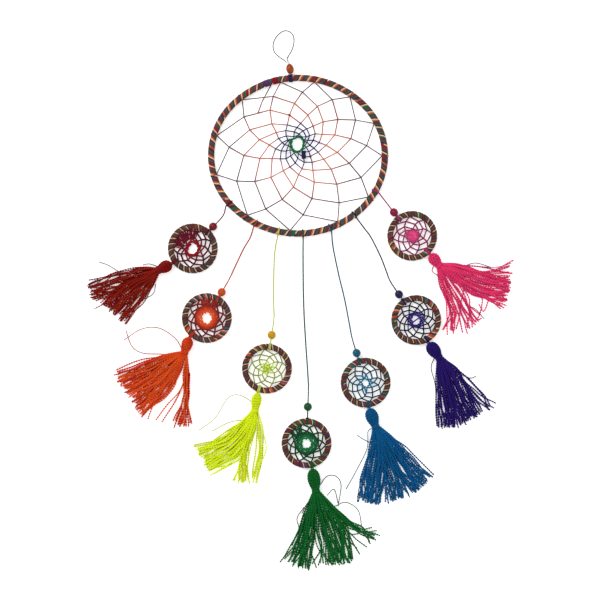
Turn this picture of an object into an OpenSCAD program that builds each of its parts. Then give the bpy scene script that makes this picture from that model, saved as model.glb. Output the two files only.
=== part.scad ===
// Dream catcher laid flat: a wrapped oval hoop with a thread web, and seven pendants.
// Each pendant is a cord, a bead, a wrapped small hoop with its own web, and a yarn tassel.
// The flat lies in XY, +Y points to the hanging loop, and +Z points up off the surface.

/* [Main hoop] */
// Outer width of the wrapped main hoop
hoop_w = 180; // [160:1:200]
// How far the rim's four arcs have their middles from the hoop's centre: 0 makes the hoop round
arc_off = 15.457; // [0:0.001:20]
// Thickness of the wrapped rim
rim_d = 6.6; // [5:0.1:9]
// Thickness of the bent cane inside the wrap
cane_d = 4; // [2.5:0.1:4.6]

/* [Small hoops] */
// Outer diameter of a wrapped small hoop
ring_d = 50; // [46:0.5:54]
// Thickness of a wrapped small rim
ring_rim_d = 6.2; // [4.5:0.1:7]
// Thickness of the cane inside a small wrap
ring_cane_d = 3.4; // [2:0.1:4.4]

/* [Webs] */
// Thread thickness of the main web
web_t = 1.1; // [0.8:0.1:1.6]
// Thread thickness of the small webs
ring_web_t = 0.8; // [0.5:0.1:1.2]

/* [Beads and cords] */
// Diameter of a pendant bead
bead_d = 8.3; // [6:0.1:10]
// Bore of every bead
bore_d = 2.4; // [2:0.1:3.2]
// Length of the oval bead under the hanging loop
loop_bead_l = 9.9; // [8:0.1:12]
// Width of the oval bead under the hanging loop
loop_bead_d = 7.5; // [6:0.1:10]
// Diameter of a pendant cord
cord_d = 1.5; // [1:0.1:1.8]
// Diameter of the hanging loop's cord
loop_cord_d = 1; // [0.8:0.1:1]

/* [Tassels] */
// Width of a tassel where it is bound
neck_d = 7; // [5:0.5:9]
// Thickness of the thread that binds the neck
bind_t = 0.7; // [0.4:0.1:1.2]
// Width of the binding along the tassel
bind_w = 2.6; // [1.5:0.1:4]

/* [Part to show] */
// One piece by name, or all of them

/* [Hidden] */
$fn = 48;

// The oval rim: two side arcs and two flatter arcs of a quarter turn each, which meet smoothly.
hoop_pos = [-2, 161];
join = 45;
seam = 0.02;  // angle by which a flat arc stops short of the side arcs, so that each stays a clean solid
side_r = (hoop_w - rim_d) / 2 - arc_off;
flat_r = side_r + sqrt(2) * arc_off;

// Heights of the pieces above the surface that they lie on.
rim_z = rim_d / 2;
ring_z = ring_rim_d / 2;
bead_z = bead_d / 2;
neck_z = neck_d / 2 + bind_t + 0.05;
ring_r = (ring_d - ring_rim_d) / 2;

// Cords: they lie on the surface, and stay clear of the rims that they hang from.
cord_sides = 8;
lie_z = cord_d / 2 + 0.05;
over_r = rim_d / 2 + cord_d / 2 + 1;
cord_gap = 0.5;

// Columns of a pendant's row.
RIM = 0;      // angle of the main rim's outward normal where the cord is tied
STOPS = 1;    // points that the cord passes on the surface
CENTRE = 2;   // centre of the small hoop
RUN = 3;      // angle from the small hoop's centre to its bead
START = 4;    // distance from that centre where the cord's last straight run starts
BEAD = 5;     // distance from that centre to the bead
TIE = 6;      // angle from that centre to the tassel's tie
HEAD = 7;     // direction, length and width of the tassel's head
LOCKS = 8;    // the skirt's locks, each as three stations of x, y and width

red = [222, [], [-107, 68.5], 47, 44, 29.8, 216, [206, 15, 12.4], [
  [[-153, 36, 18], [-167, 25, 30], [-187, 3, 32]],
  [[-155, 43, 17], [-180, 33, 24], [-210, 24, 17]]]];
orange = [243, [[-50, 79], [-56.5, 68], [-66, 48]], [-93, -1], 60, 44, 29.8, 228, [252, 15.5, 11.6], [
  [[-128, -47, 26], [-144, -61, 40], [-172, -79, 50]],
  [[-113, -58, 6], [-114, -83, 8], [-119, -109, 14]]]];
yellow = [258, [[-25.5, 62], [-26.5, 25], [-26.2, 8]], [-33, -51.5], 82, 49, 34, 249, [261, 17.5, 10.8], [
  [[-53, -110, 20], [-70, -129, 30], [-97, -144, 30]],
  [[-54, -123, 10], [-57, -143, 7], [-60, -165, 13]],
  [[-40, -113, 8], [-41, -135, 9], [-47, -165, 6]]]];
green = [273, [[3, 60], [3.5, 18], [5, -15], [8, -60]], [6.5, -126], 88, 52, 36.5, 283, [279, 22, 13.4], [
  [[25, -191, 16], [34, -213, 26], [41, -247, 26]],
  [[11, -195, 12], [4, -223, 16], [-4, -249.8, 20]],
  [[20, -208, 12], [24, -228, 8], [26, -248, 8]],
  [[45, -203, 8], [60, -213, 5], [74, -221, 8]]]];
blue = [290, [[33, 70], [38.5, 43], [44.5, 18], [49.5, -8]], [65.5, -65.5], 107, 46, 31, 277.5,
  [290, 18.4, 13.2], [
  [[78, -133, 20], [74, -161, 25], [71, -186, 26]],
  [[91, -129, 18], [105, -151, 24], [121, -170, 26]],
  [[85, -138, 16], [93, -161, 16], [99, -182, 18]]]];
purple = [307, [[64, 89], [71, 79.5], [80.5, 60.5], [86, 46.5]], [116, -3], 124, 46, 31, 298,
  [306, 17.5, 13.8], [
  [[143, -61, 14], [147, -85, 18], [149, -111, 20]],
  [[151, -58, 18], [161, -81, 24], [172, -102, 22]],
  [[162, -61, 12], [178, -78, 8], [192, -90, 5]]]];
pink = [330, [], [112, 81], 128, 44, 29.8, 313.5, [310, 13.5, 12.4], [
  [[155, 45, 18], [180, 34, 28], [209, 28, 34]],
  [[145, 29, 11], [155, 7, 11], [152, -16, 10]],
  [[156, 25, 14], [166, 5, 11], [174, -9, 6]]]];

// Tassel head: share of its length against share of its width.
head_shape = [[0, 0.24], [0.14, 0.62], [0.34, 0.94], [0.52, 1], [0.78, 0.86]];
lock_t = [6, 5, 3.6];
yarn_sides = 14;

// Hanging loop: where it is tied, its bead's distance from the rim, and the cord's route.
loop_n = 94.5;
loop_lean = 100;
hitch_t = 0.6;
loop_out = rim_z + hitch_t + 0.4 + loop_bead_l / 2;
loop_stops = [[-16, 256.5], [-20, 259.5], [-25, 264], [-27, 270], [-25.5, 277], [-21.5, 282.5], [-16, 286],
  [-11, 285.5], [-7.5, 282.5], [-6, 278], [-6.5, 272], [-8.5, 266], [-11.5, 261], [-13, 257]];
loop_lie_z = loop_cord_d / 2 + 0.05;

// Webs: rim angles of the main web's ties, then how far each round is drawn to the middle.
tie_angles = [-37, 0, 28, 55, 79.5, 101, 128, 163, 196, 236, 265, 296];
web_mid = [-2.5, 171.5];
web_draw = [0.155, 0.185, 0.24, 0.26, 0.19, 0.17, 0.19, 0.2, 0.2];
ring_ties = 9;
ring_web_draw = [0.06, 0.1, 0.14, 0.16, 0.14];
web_share = 0.32;

function unit(v) = v / norm(v);
function dir(a) = [cos(a), sin(a)];
function lift(p, z) = [p.x, p.y, z];

function on_side(n) = abs(sin(n)) < sin(join);
function arc_mid(n) = on_side(n) ? [sign(cos(n)) * arc_off, 0] : [0, -sign(sin(n)) * arc_off];
function rim_at(n, out = 0) = hoop_pos + arc_mid(n) + ((on_side(n) ? side_r : flat_r) + out) * dir(n);
function ring_at(p, a, r) = p[CENTRE] + r * dir(a);

// A cord goes over the main rim from its inner side, along the surface, and straight through its bead.
function over_rim(n, a) = lift(rim_at(n, over_r * cos(a)), rim_z + over_r * sin(a));
function cord_route(p) = concat(
  [for (a = [180 : -60 : 0]) over_rim(p[RIM], a)],
  [for (s = p[STOPS]) lift(s, lie_z)],
  [for (r = [p[START], ring_d / 2 + cord_gap]) lift(ring_at(p, p[RUN], r), bead_z)]);

function loop_mid() = rim_at(loop_n, loop_out);
function loop_end(s, out) = lift(loop_mid() + (loop_bead_l / 2 + out) * dir(loop_lean)
  + s * (loop_cord_d / 2 + 0.05) * dir(loop_lean - 90), loop_bead_d / 2);
function loop_route() = concat([loop_end(-1, -1), loop_end(-1, 0.4)],
  [for (i = [0 : len(loop_stops) - 1])
    lift(loop_stops[i], (i == 0 || i == len(loop_stops) - 1) ? 2 : loop_lie_z)],
  [loop_end(1, 0.4), loop_end(1, -1)]);

// A closed skin over a row of rings that have the same number of points.
module loft(rings) {
  n = len(rings[0]);
  last = (len(rings) - 1) * n;
  polyhedron(
    points = [for (r = rings) each r],
    faces = concat(
      [[for (k = [0 : n - 1]) k]],
      [for (i = [0 : len(rings) - 2], k = [0 : n - 1]) let (a = i * n + k, b = i * n + (k + 1) % n)
        each [[a, a + n, b + n], [a, b + n, b]]],
      [[for (k = [n - 1 : -1 : 0]) last + k]]));
}
function ring_points(at, s, u, n) = [for (k = [0 : n - 1]) at + cos(k * 360 / n) * s + sin(k * 360 / n) * u];

// A tube swept along a route.
function along(pts, i) = unit(unit(pts[min(i + 1, len(pts) - 1)] - pts[i == len(pts) - 1 ? i - 1 : i])
  + unit(pts[i == 0 ? 1 : i] - pts[max(i - 1, 0)]));
module tube(pts, d) {
  loft([for (i = [0 : len(pts) - 1]) let (t = along(pts, i), s = unit(cross([0, 0, 1], t)))
    ring_points(pts[i], d / 2 * s, d / 2 * cross(t, s), cord_sides)]);
}

// Round section of a rim, with or without a bore.
module rim_section(d, bore) {
  difference() {
    circle(d = d);
    if (bore > 0) circle(d = bore);
  }
}

module oval_rim(d, bore) {
  translate(lift(hoop_pos, rim_z)) {
    for (a = [0, 180]) {
      translate(lift(arc_off * dir(a), 0))
        rotate_extrude(start = a - join, angle = 2 * join)
          translate([side_r, 0]) rim_section(d, bore);
      translate(lift(-arc_off * dir(a + 90), 0))
        rotate_extrude(start = a + join + seam, angle = 2 * (join - seam))
          translate([flat_r, 0]) rim_section(d, bore);
    }
  }
}

module small_rim(p, d, bore) {
  translate(lift(p[CENTRE], ring_z)) rotate_extrude() translate([ring_r, 0]) rim_section(d, bore);
}

// A thread web: each round of thread hangs in the round before it, at a share of each span.
function next_round(k, mid, draw) = [for (i = [0 : len(k) - 1])
  let (m = (1 - web_share) * k[i] + web_share * k[(i + 1) % len(k)]) m + draw * (mid - m)];
function rounds(k, mid, draws, i = 0) =
  i == len(draws) ? [k] : concat([k], rounds(next_round(k, mid, draws[i]), mid, draws, i + 1));
function zigzag(a, b) = [for (i = [0 : len(a) - 1]) each [a[i], b[i]]];
module thread_round(pts, mid, t) {
  n = len(pts);
  polygon(
    points = concat([for (p = pts) p + t / 2 * unit(p - mid)], [for (p = pts) p - t / 2 * unit(p - mid)]),
    paths = [[for (i = [0 : n - 1]) i], [for (i = [0 : n - 1]) n + i]]);
}
module web(first, mid, draws, t, z) {
  r = rounds(first, mid, draws);
  translate([0, 0, z - t / 2]) linear_extrude(t)
    for (i = [0 : len(r) - 2]) thread_round(zigzag(r[i], r[i + 1]), mid, t);
}
module small_web(p) {
  edge = ring_r - ring_rim_d / 2 + 0.3;
  web([for (i = [0 : ring_ties - 1]) ring_at(p, p[RUN] + 15 + i * 360 / ring_ties, edge)],
    p[CENTRE], ring_web_draw, ring_web_t, ring_z);
}

module round_bead(p) {
  translate(lift(ring_at(p, p[RUN], p[BEAD]), bead_z)) rotate([0, 90, p[RUN]]) difference() {
    sphere(d = bead_d);
    cylinder(d = bore_d, h = 2 * bead_d, center = true);
  }
}

// A tassel: a skin over elliptic rings of the folded head, and one down each lock of the skirt.
function oval_ring(at, a, w, t) = ring_points(at, w / 2 * lift(dir(a + 90), 0), [0, 0, t / 2], yarn_sides);
function nose(p) = ring_at(p, p[TIE], ring_d / 2 + 1.2);
function on_head(p, share, z) = lift(nose(p) + share * p[HEAD][1] * dir(p[HEAD][0]), z);
function head_ring(p, s) = let (w = s[1] * p[HEAD][2])
  oval_ring(on_head(p, s[0], max(w / 2, ring_z)), p[HEAD][0], w, w);
function lock_ring(p, lock, j, rise) =
  let (pts = concat([on_head(p, 1, 0)], [for (s = lock) [s.x, s.y, 0]]),
    step = pts[min(j + 1, len(lock))] - pts[j - 1])
  oval_ring(lift(pts[j], lock_t[j - 1] / 2 + rise), atan2(step.y, step.x), lock[j - 1][2], lock_t[j - 1]);
module tassel_yarn(p) {
  a = p[HEAD][0];
  union() {
    loft(concat([for (s = head_shape) head_ring(p, s)],
      [oval_ring(on_head(p, 1, neck_z), a, neck_d, neck_d)]));
    for (i = [0 : len(p[LOCKS]) - 1]) {
      lock = p[LOCKS][i];
      root_d = neck_d - 1 - 0.3 * i;
      loft(concat([oval_ring(on_head(p, 0.8 - 0.1 * i, neck_z), a, root_d, root_d)],
        [for (j = [1 : len(lock)]) lock_ring(p, lock, j, 0.1 + 0.12 * i)]));
    }
  }
}
module tassel_binding(p) {
  translate(on_head(p, 1, neck_z)) rotate([0, 90, p[HEAD][0]]) difference() {
    cylinder(d = neck_d + 2 * bind_t, h = bind_w, center = true);
    cylinder(d = neck_d, h = 2 * bind_w, center = true);
  }
}

// Main hoop and its hanging loop.
module main_hoop_cane() color("BurlyWood") oval_rim(cane_d, 0);
module main_hoop_wrap() color("Sienna") oval_rim(rim_d, cane_d);
module main_web() color("MidnightBlue")
  web([for (a = tie_angles) rim_at(a, 0.3 - rim_d / 2)], web_mid, web_draw, web_t, rim_z);
module loop_hitch() color("Navy")
  translate(lift(hoop_pos - arc_off * dir(90), rim_z)) rotate_extrude(start = loop_n - 1.2, angle = 2.4)
    translate([flat_r, 0]) intersection() {
      rim_section(rim_d + 2 * hitch_t, rim_d);
      translate([-rim_d, -0.8 * rim_z]) square(2 * rim_d);
    }
module loop_bead() color("Peru") {
  // The bead is turned in steps, from one mouth over its full width to the other.
  bore = bore_d / 2;
  wide = loop_bead_d / 2;
  half = loop_bead_l / 2;
  turned = 70;
  side = [for (a = [-turned : turned / 5 : turned]) [wide * cos(a), half * sin(a) / sin(turned)]];
  translate(lift(loop_mid(), wide)) rotate([0, 90, loop_lean]) rotate_extrude()
    polygon(concat([[bore, -half]], side, [[bore, half]]));
}
module hanging_loop() color("DarkSlateBlue") tube(loop_route(), loop_cord_d);

// Red pendant.
module red_cord() color("DarkRed") tube(cord_route(red), cord_d);
module red_bead() color("Crimson") round_bead(red);
module red_hoop_cane() color("BurlyWood") small_rim(red, ring_cane_d, 0);
module red_hoop_wrap() color("SaddleBrown") small_rim(red, ring_rim_d, ring_cane_d);
module red_web() color("DarkRed") small_web(red);
module red_tassel_yarn() color("Crimson") tassel_yarn(red);
module red_tassel_binding() color("DarkRed") tassel_binding(red);

// Orange pendant.
module orange_cord() color("OrangeRed") tube(cord_route(orange), cord_d);
module orange_bead() color("DarkOrange") round_bead(orange);
module orange_hoop_cane() color("BurlyWood") small_rim(orange, ring_cane_d, 0);
module orange_hoop_wrap() color("SaddleBrown") small_rim(orange, ring_rim_d, ring_cane_d);
module orange_web() color("OrangeRed") small_web(orange);
module orange_tassel_yarn() color("Tomato") tassel_yarn(orange);
module orange_tassel_binding() color("OrangeRed") tassel_binding(orange);

// Yellow pendant.
module yellow_cord() color("YellowGreen") tube(cord_route(yellow), cord_d);
module yellow_bead() color("Gold") round_bead(yellow);
module yellow_hoop_cane() color("BurlyWood") small_rim(yellow, ring_cane_d, 0);
module yellow_hoop_wrap() color("SaddleBrown") small_rim(yellow, ring_rim_d, ring_cane_d);
module yellow_web() color("GreenYellow") small_web(yellow);
module yellow_tassel_yarn() color("GreenYellow") tassel_yarn(yellow);
module yellow_tassel_binding() color("YellowGreen") tassel_binding(yellow);

// Green pendant.
module green_cord() color("DarkGreen") tube(cord_route(green), cord_d);
module green_bead() color("SeaGreen") round_bead(green);
module green_hoop_cane() color("BurlyWood") small_rim(green, ring_cane_d, 0);
module green_hoop_wrap() color("SaddleBrown") small_rim(green, ring_rim_d, ring_cane_d);
module green_web() color("ForestGreen") small_web(green);
module green_tassel_yarn() color("ForestGreen") tassel_yarn(green);
module green_tassel_binding() color("DarkGreen") tassel_binding(green);

// Blue pendant.
module blue_cord() color("DarkSlateGray") tube(cord_route(blue), cord_d);
module blue_bead() color("Teal") round_bead(blue);
module blue_hoop_cane() color("BurlyWood") small_rim(blue, ring_cane_d, 0);
module blue_hoop_wrap() color("SaddleBrown") small_rim(blue, ring_rim_d, ring_cane_d);
module blue_web() color("Teal") small_web(blue);
module blue_tassel_yarn() color("SteelBlue") tassel_yarn(blue);
module blue_tassel_binding() color("Teal") tassel_binding(blue);

// Purple pendant.
module purple_cord() color("DarkSlateBlue") tube(cord_route(purple), cord_d);
module purple_bead() color("Indigo") round_bead(purple);
module purple_hoop_cane() color("BurlyWood") small_rim(purple, ring_cane_d, 0);
module purple_hoop_wrap() color("SaddleBrown") small_rim(purple, ring_rim_d, ring_cane_d);
module purple_web() color("MidnightBlue") small_web(purple);
module purple_tassel_yarn() color("DarkSlateBlue") tassel_yarn(purple);
module purple_tassel_binding() color("Indigo") tassel_binding(purple);

// Pink pendant.
module pink_cord() color("MediumVioletRed") tube(cord_route(pink), cord_d);
module pink_bead() color("MediumVioletRed") round_bead(pink);
module pink_hoop_cane() color("BurlyWood") small_rim(pink, ring_cane_d, 0);
module pink_hoop_wrap() color("SaddleBrown") small_rim(pink, ring_rim_d, ring_cane_d);
module pink_web() color("HotPink") small_web(pink);
module pink_tassel_yarn() color("HotPink") tassel_yarn(pink);
module pink_tassel_binding() color("MediumVioletRed") tassel_binding(pink);

main_hoop_cane();
main_hoop_wrap();
main_web();
loop_hitch();
loop_bead();
hanging_loop();
red_cord();
red_bead();
red_hoop_cane();
red_hoop_wrap();
red_web();
red_tassel_yarn();
red_tassel_binding();
orange_cord();
orange_bead();
orange_hoop_cane();
orange_hoop_wrap();
orange_web();
orange_tassel_yarn();
orange_tassel_binding();
yellow_cord();
yellow_bead();
yellow_hoop_cane();
yellow_hoop_wrap();
yellow_web();
yellow_tassel_yarn();
yellow_tassel_binding();
green_cord();
green_bead();
green_hoop_cane();
green_hoop_wrap();
green_web();
green_tassel_yarn();
green_tassel_binding();
blue_cord();
blue_bead();
blue_hoop_cane();
blue_hoop_wrap();
blue_web();
blue_tassel_yarn();
blue_tassel_binding();
purple_cord();
purple_bead();
purple_hoop_cane();
purple_hoop_wrap();
purple_web();
purple_tassel_yarn();
purple_tassel_binding();
pink_cord();
pink_bead();
pink_hoop_cane();
pink_hoop_wrap();
pink_web();
pink_tassel_yarn();
pink_tassel_binding();
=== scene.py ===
"""Looks of the dream catcher: wound rims, webs, cords, dyed beads and yarn tassels, in metres in the part's frame."""

import math

import bpy
import numpy as np
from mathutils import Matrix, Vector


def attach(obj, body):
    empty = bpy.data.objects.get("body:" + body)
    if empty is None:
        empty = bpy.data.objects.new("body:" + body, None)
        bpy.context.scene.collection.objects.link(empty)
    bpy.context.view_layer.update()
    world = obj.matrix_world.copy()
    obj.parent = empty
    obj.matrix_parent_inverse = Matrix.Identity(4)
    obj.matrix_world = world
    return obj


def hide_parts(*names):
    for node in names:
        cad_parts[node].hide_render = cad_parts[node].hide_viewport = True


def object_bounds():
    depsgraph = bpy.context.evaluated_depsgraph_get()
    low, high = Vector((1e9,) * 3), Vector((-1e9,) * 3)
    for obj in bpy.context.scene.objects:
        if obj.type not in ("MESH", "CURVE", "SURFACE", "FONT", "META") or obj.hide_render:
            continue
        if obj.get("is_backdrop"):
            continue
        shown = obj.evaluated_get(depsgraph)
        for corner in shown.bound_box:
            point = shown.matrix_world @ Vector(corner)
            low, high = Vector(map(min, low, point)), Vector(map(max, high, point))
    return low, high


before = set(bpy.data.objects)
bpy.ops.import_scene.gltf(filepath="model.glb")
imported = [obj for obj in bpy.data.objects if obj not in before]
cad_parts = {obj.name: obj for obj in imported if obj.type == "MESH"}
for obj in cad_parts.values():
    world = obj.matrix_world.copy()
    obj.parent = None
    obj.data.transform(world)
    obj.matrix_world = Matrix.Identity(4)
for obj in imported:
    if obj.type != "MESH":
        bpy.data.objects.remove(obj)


def plain(value):
    """Vectors and tuples as lists, ready for a JSON file."""
    return [plain(v) for v in value] if hasattr(value, "__len__") and not isinstance(value, str) else float(value)


size_loaded = plain(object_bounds())
MM = 0.001
UP = np.array([0.0, 0.0, 1.0])

# ---------------------------------------------------------------- layout, in millimetres as in the part's source
HOOP_POS = np.array([-2.0, 161.0])
RIM_D, RING_D, RING_RIM_D = 6.6, 50.0, 6.2
ARC_OFF, JOIN = 15.457, 45.0
SIDE_R = (180.0 - RIM_D) / 2 - ARC_OFF
FLAT_R = SIDE_R + math.sqrt(2) * ARC_OFF
RIM_Z, RING_Z = RIM_D / 2, RING_RIM_D / 2
RING_R = (RING_D - RING_RIM_D) / 2
BEAD_D, BORE_D, BEAD_Z = 8.3, 2.4, 4.15
CORD_D, LOOP_CORD_D = 1.5, 1.0
RING_IN = RING_R - RING_Z
LIE_Z, OVER_R = CORD_D / 2 + 0.05, RIM_D / 2 + CORD_D / 2 + 1
NECK_D, NECK_Z = 7.0, 4.25
LOOP_N, LOOP_LEAN, LOOP_BEAD_L, LOOP_BEAD_D = 94.5, 100.0, 9.9, 7.5
LOCK_T = (6, 5, 3.6)

# rim: normal of the main rim where the cord is tied; stops: points that the cord passes; at: the small hoop's middle;
# run, start, bead: the cord's last straight run; tie, head: the tassel's tie, then its head's direction, length and
# width; locks: stations x, y, width.
PENDANTS = {
    "red": dict(rim=222, stops=[], at=(-107, 68.5), run=47, start=44, bead=29.8, tie=216, head=(206, 15, 12.4),
        locks=[[(-153, 36, 18), (-167, 25, 30), (-187, 3, 32)], [(-155, 43, 17), (-180, 33, 24), (-210, 24, 17)]]),
    "orange": dict(rim=243, stops=[(-50, 79), (-56.5, 68), (-66, 48)], at=(-93, -1), run=60, start=44, bead=29.8,
        tie=228, head=(252, 15.5, 11.6), locks=[[(-128, -47, 26), (-144, -61, 40), (-172, -79, 50)],
        [(-113, -58, 6), (-114, -83, 8), (-119, -109, 14)]]),
    "yellow": dict(rim=258, stops=[(-25.5, 62), (-26.5, 25), (-26.2, 8)], at=(-33, -51.5), run=82, start=49, bead=34,
        tie=249, head=(261, 17.5, 10.8), locks=[[(-53, -110, 20), (-70, -129, 30), (-97, -144, 30)],
        [(-54, -123, 10), (-57, -143, 7), (-60, -165, 13)], [(-40, -113, 8), (-41, -135, 9), (-47, -165, 6)]]),
    "green": dict(rim=273, stops=[(3, 60), (3.5, 18), (5, -15), (8, -60)], at=(6.5, -126), run=88, start=52,
        bead=36.5, tie=283, head=(279, 22, 13.4), locks=[[(25, -191, 16), (34, -213, 26), (41, -247, 26)],
        [(11, -195, 12), (4, -223, 16), (-4, -249.8, 20)], [(20, -208, 12), (24, -228, 8), (26, -248, 8)],
        [(45, -203, 8), (60, -213, 5), (74, -221, 8)]]),
    "blue": dict(rim=290, stops=[(33, 70), (38.5, 43), (44.5, 18), (49.5, -8)], at=(65.5, -65.5), run=107, start=46,
        bead=31, tie=277.5, head=(290, 18.4, 13.2), locks=[[(78, -133, 20), (74, -161, 25), (71, -186, 26)],
        [(91, -129, 18), (105, -151, 24), (121, -170, 26)], [(85, -138, 16), (93, -161, 16), (99, -182, 18)]]),
    "purple": dict(rim=307, stops=[(64, 89), (71, 79.5), (80.5, 60.5), (86, 46.5)], at=(116, -3), run=124, start=46,
        bead=31, tie=298, head=(306, 17.5, 13.8), locks=[[(143, -61, 14), (147, -85, 18), (149, -111, 20)],
        [(151, -58, 18), (161, -81, 24), (172, -102, 22)], [(162, -61, 12), (178, -78, 8), (192, -90, 5)]]),
    "pink": dict(rim=330, stops=[], at=(112, 81), run=128, start=44, bead=29.8, tie=313.5, head=(310, 13.5, 12.4),
        locks=[[(155, 45, 18), (180, 34, 28), (209, 28, 34)], [(145, 29, 11), (155, 7, 11), (152, -16, 10)],
        [(156, 25, 14), (166, 5, 11), (174, -9, 6)]]),
}
LOOP_STOPS = [(-16, 256.5), (-20, 259.5), (-25, 264), (-27, 270), (-25.5, 277), (-21.5, 282.5), (-16, 286),
    (-11, 285.5), (-7.5, 282.5), (-6, 278), (-6.5, 272), (-8.5, 266), (-11.5, 261), (-13, 257)]

# Each pendant's dyes, then its web: ties, free middle, where the tight rounds start, the side where it is darned,
# the thread across its middle, and the thread's radius; then its yarn: radius, how far and which way its strands turn
# round the head, how much painted shade darkens its grooves, whether it crosses over the head, and how freely its
# strands stray.
LOOKS = {
    "red": dict(yarn="#9A0814", thread="#8A0C24", edge="#5E0E20", cord="#5A1822", bead="#86021C",
        accent=("#3E4648", "#6E1420", "#7A3A2E"), ties=9, hole=5.4, dense=11.5, darned=(125, 52), yarn_r=0.76,
        spin=0.2, net=0.95, wild=1.1),
    "orange": dict(yarn="#F4441C", thread="#DC401E", edge="#7E2A22", cord="#B8402C", bead="#DC5000",
        accent=("#D0502A", "#5A5878", "#3E5668"), ties=10, hole=5.3, dense=13.0, darned=(78, 34), yarn_r=0.94,
        spin=1.4, net=0.92, wild=1.3),
    "yellow": dict(yarn="#F0FF1E", thread="#D2E83C", edge="#8E9A34", cord="#CCD270", bead="#E0A800",
        accent=("#9E8A2E", "#5E2A5A", "#D0502A"), ties=8, hole=2.0, dense=5.5, yarn_r=0.9, spin=0.1, net=0.62,
        groove_shade=0.45, wild=1.2),
    "green": dict(yarn="#0A7428", thread="#14703A", edge="#0E4426", cord="#1E5238", bead="#045820",
        accent=("#2A7048", "#8A1E30", "#3C2A6E"), ties=10, hole=5.3, dense=14.5, darned=(128, 22), yarn_r=0.92,
        spin=0.1, net=0.88, wild=1.7),
    "blue": dict(yarn="#0468A0", thread="#12708E", edge="#0A3E4E", cord="#1E5868", bead="#00607E",
        accent=("#0E7A70", "#8E2040", "#54305E"), ties=9, hole=4.3, dense=6.2, yarn_r=0.96, spin=0.8, net=0.78,
        wild=1.2),
    "purple": dict(yarn="#281678", thread="#2C2478", edge="#121030", cord="#2A2C50", bead="#1C0E4E",
        accent=("#D0482A", "#1E7068", "#5A2E6A"), ties=10, hole=5.0, dense=8.5, yarn_r=0.96, spin=-0.8, split=35.0,
        net=0.8, wild=1.2),
    "pink": dict(yarn="#FF3E84", thread="#F04E92", edge="#96305E", cord="#9E3A70", bead="#98003E",
        accent=("#1E7A54", "#B02C5E", "#9E6A2A"), ties=8, hole=1.9, dense=8.5, yarn_r=0.92, spin=1.0, net=0.8,
        groove_shade=0.65, crossed=True, wild=1.5),
}
LOOKS = {name: {"darned": None, "split": None, "groove_shade": 0.75, "crossed": False, **look} for name,
    look in LOOKS.items()}

# Loose threads that have slipped out of each tassel: points that they pass on the surface.
STRAYS = {
    "red": [[(-141, 50), (-150, 53), (-157, 52)], [(-144, 33), (-147, 23), (-160, 16)],
        [(-182, 46), (-192, 52), (-201, 55)], [(-201, 38), (-211, 33), (-211, 30), (-201, 31)]],
    "orange": [[(-118, -32), (-125, -21), (-141, -11), (-158, -12), (-176, -23)],
        [(-120, -38), (-138, -37), (-157, -36), (-168, -29), (-174, -13)]],
    "yellow": [[(-46, -86), (-60, -78), (-72, -81), (-85, -101), (-101, -113)],
        [(-50, -102), (-70, -105), (-88, -114)], [(-37, -112), (-36, -121)]],
    "green": [[(20, -168), (27, -159), (36, -159), (41, -168), (38, -189)], [(27, -178), (34, -172), (38, -186)],
        [(35, -189), (46, -185), (58, -193), (62, -212)], [(12, -180), (6, -188), (2, -196)],
        [(4, -190), (-3, -201), (-1, -213), (-7, -225)]],
    "blue": [[(74, -111), (68, -114), (67, -131), (57, -152), (46, -172)], [(57, -118), (65, -123), (74, -127)],
        [(74, -128), (65, -151), (59, -171), (57, -185)]],
    "purple": [[(136, -38), (131, -50), (135, -68), (136, -88), (138, -110)], [(158, -56), (170, -61), (176, -59)],
        [(158, -88), (162, -98), (168, -104), (168, -99)]],
    "pink": [[(134, 52), (132, 46), (138, 41)], [(162, 50), (175, 54), (190, 50)], [(180, 50), (198, 50), (211, 54)],
        [(165, 12), (175, 8), (184, -2)]],
}

# Loose strands of the yarn itself, given in the same way.
LOOSE_YARN = {
    "red": [[(-150, 46), (-190, 40), (-211, 32)], [(-150, 38), (-190, 33), (-212, 29)]],
    "orange": [[(-113, -52), (-119, -72), (-133, -88), (-144, -103)], [(-112, -54), (-123, -81), (-138, -105)],
        [(-111, -56), (-117, -83), (-126, -111)], [(-110, -56), (-112, -92), (-111, -110)],
        [(-122, -50), (-143, -81), (-149, -94), (-152, -102)], [(-122, -40), (-150, -41), (-166, -45), (-184, -53)],
        [(-124, -40), (-146, -43), (-163, -51), (-186, -58)]],
    "yellow": [[(-50, -108), (-75, -122), (-104, -133)], [(-46, -118), (-52, -144), (-51, -165)]],
    "green": [[(32, -196), (52, -207), (62, -212), (72, -210)], [(32, -198), (50, -207), (64, -213), (80, -218)],
        [(32, -200), (50, -209), (63, -215), (76, -223)], [(30, -200), (48, -214), (56, -222), (67, -230)],
        [(30, -200), (46, -214), (52, -217), (59, -216)], [(30, -205), (47, -222), (57, -231)],
        [(12, -180), (6, -190), (3, -205), (-3, -216), (-8, -228)], [(14, -190), (16, -225), (25, -240), (33, -247)]],
    "blue": [[(88, -118), (105, -129), (112, -136), (123, -147), (134, -158)],
        [(90, -122), (111, -138), (124, -154), (133, -160)]],
    "purple": [[(146, -48), (164, -66), (182, -84), (194, -91)], [(140, -50), (138, -80), (142, -112)]],
    "pink": [[(139, 53), (162, 41), (163, 25), (160, 8.5), (168, -11)],
        [(158, 38), (171, 22.5), (181.5, 19.5), (179.5, 3), (175, -3.5)],
        [(150, 45), (167.5, 21.5), (170, 8.5), (177.5, -2.5), (181, -1)],
        [(165, 28), (186, 19.5), (187, 13), (183, 5.5), (178.5, 13)], [(142, 52), (170, 38), (190, 22), (205, 18)],
        [(150, 48), (180, 45), (209, 45)], [(150, 36), (165, 15), (180, 2)], [(142, 40), (146, 15), (147, -18)]],
}


def unit(v):
    v = np.asarray(v, float)
    return v / np.linalg.norm(v)


def aim(degrees):
    return np.array([math.cos(math.radians(degrees)), math.sin(math.radians(degrees))])


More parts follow.
